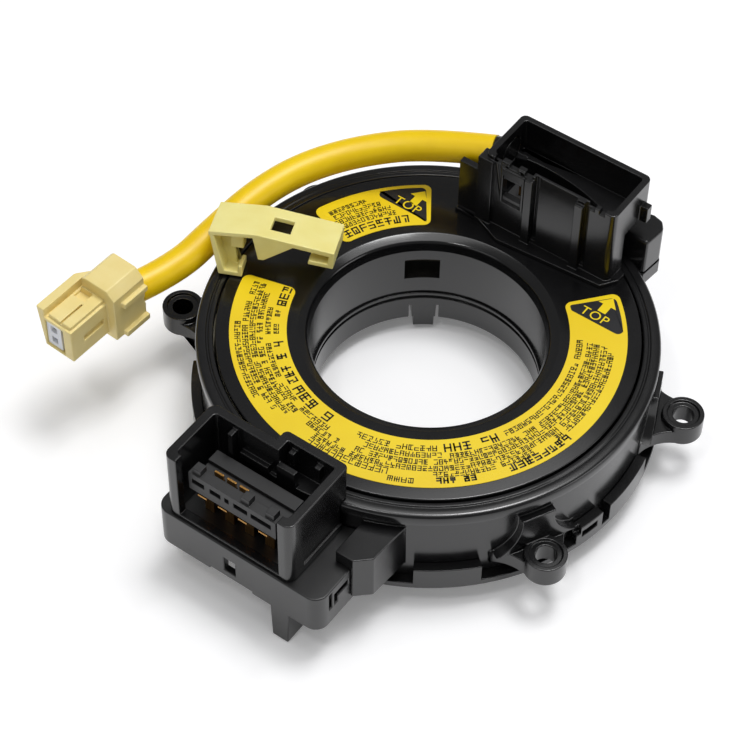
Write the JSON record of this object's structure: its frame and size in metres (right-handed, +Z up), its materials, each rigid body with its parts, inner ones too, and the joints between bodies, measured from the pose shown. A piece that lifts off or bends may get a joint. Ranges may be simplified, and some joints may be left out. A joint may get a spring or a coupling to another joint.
{
  "type": "steering clock spring",
  "caption": "Spiral cable unit for a steering column: a hub that turns inside a fixed ring case, with connectors above and below, a yellow harness with plug and clip, and screw lugs.",
  "frame": {"origin": "on the steering axis, at the flat rear face of the ring case", "axes": "+Z up the steering axis towards the wheel, +Y towards the upper connector, -Y towards the lower connector, +X along the connectors"},
  "size_m": [0.1191, 0.1138, 0.0483],
  "materials": {
    "black_case": "satin moulded black plastic",
    "black_housing": "semi-gloss moulded black plastic",
    "black_disc": "glossy moulded black plastic",
    "grey_carrier": "dull dark grey plastic",
    "ribbon_film": "pale polyester film",
    "yellow_label": "yellow printed film",
    "yellow_sleeve": "soft yellow vinyl sleeve",
    "ivory_clip": "pale yellow moulded nylon",
    "ivory_plug": "pale yellow moulded plastic",
    "white_insert": "white moulded plastic",
    "brass_terminal": "bright plated contact"
  },
  "bodies": {
    "stator": {"stator_case": "black_case", "stator_cover_ring": "black_case", "stator_base_cover": "black_case", "connector_tray": "black_case", "connector_shroud": "black_housing", "terminal_carrier": "grey_carrier", "front_terminals": "brass_terminal", "rear_terminals": "brass_terminal", "stator_ribbon_block": "grey_carrier", "ribbon_cable": "ribbon_film"},
    "rotor": {"rotor_disc": "black_disc", "cancel_cam": "black_disc", "main_label": "yellow_label", "small_label": "yellow_label", "upper_connector_housing": "black_housing", "upper_terminal_carrier": "grey_carrier", "upper_terminals": "brass_terminal", "cable_gland": "black_housing", "hub_ribbon_block": "grey_carrier", "harness_tube": "yellow_sleeve", "harness_clip": "ivory_clip", "srs_plug_housing": "ivory_plug", "srs_plug_insert": "white_insert", "srs_terminals": "brass_terminal"}
  },
  "joints": [
    {"name": "rotor_turn", "type": "hinge", "parent": "stator", "child": "rotor", "pos_m": [0, 0, 0], "axis": [0, 0, 1], "range_deg": [-900, 900], "deforming": ["ribbon_cable", "harness_tube", "harness_clip", "srs_plug_housing", "srs_plug_insert", "srs_terminals"]}
  ]
}
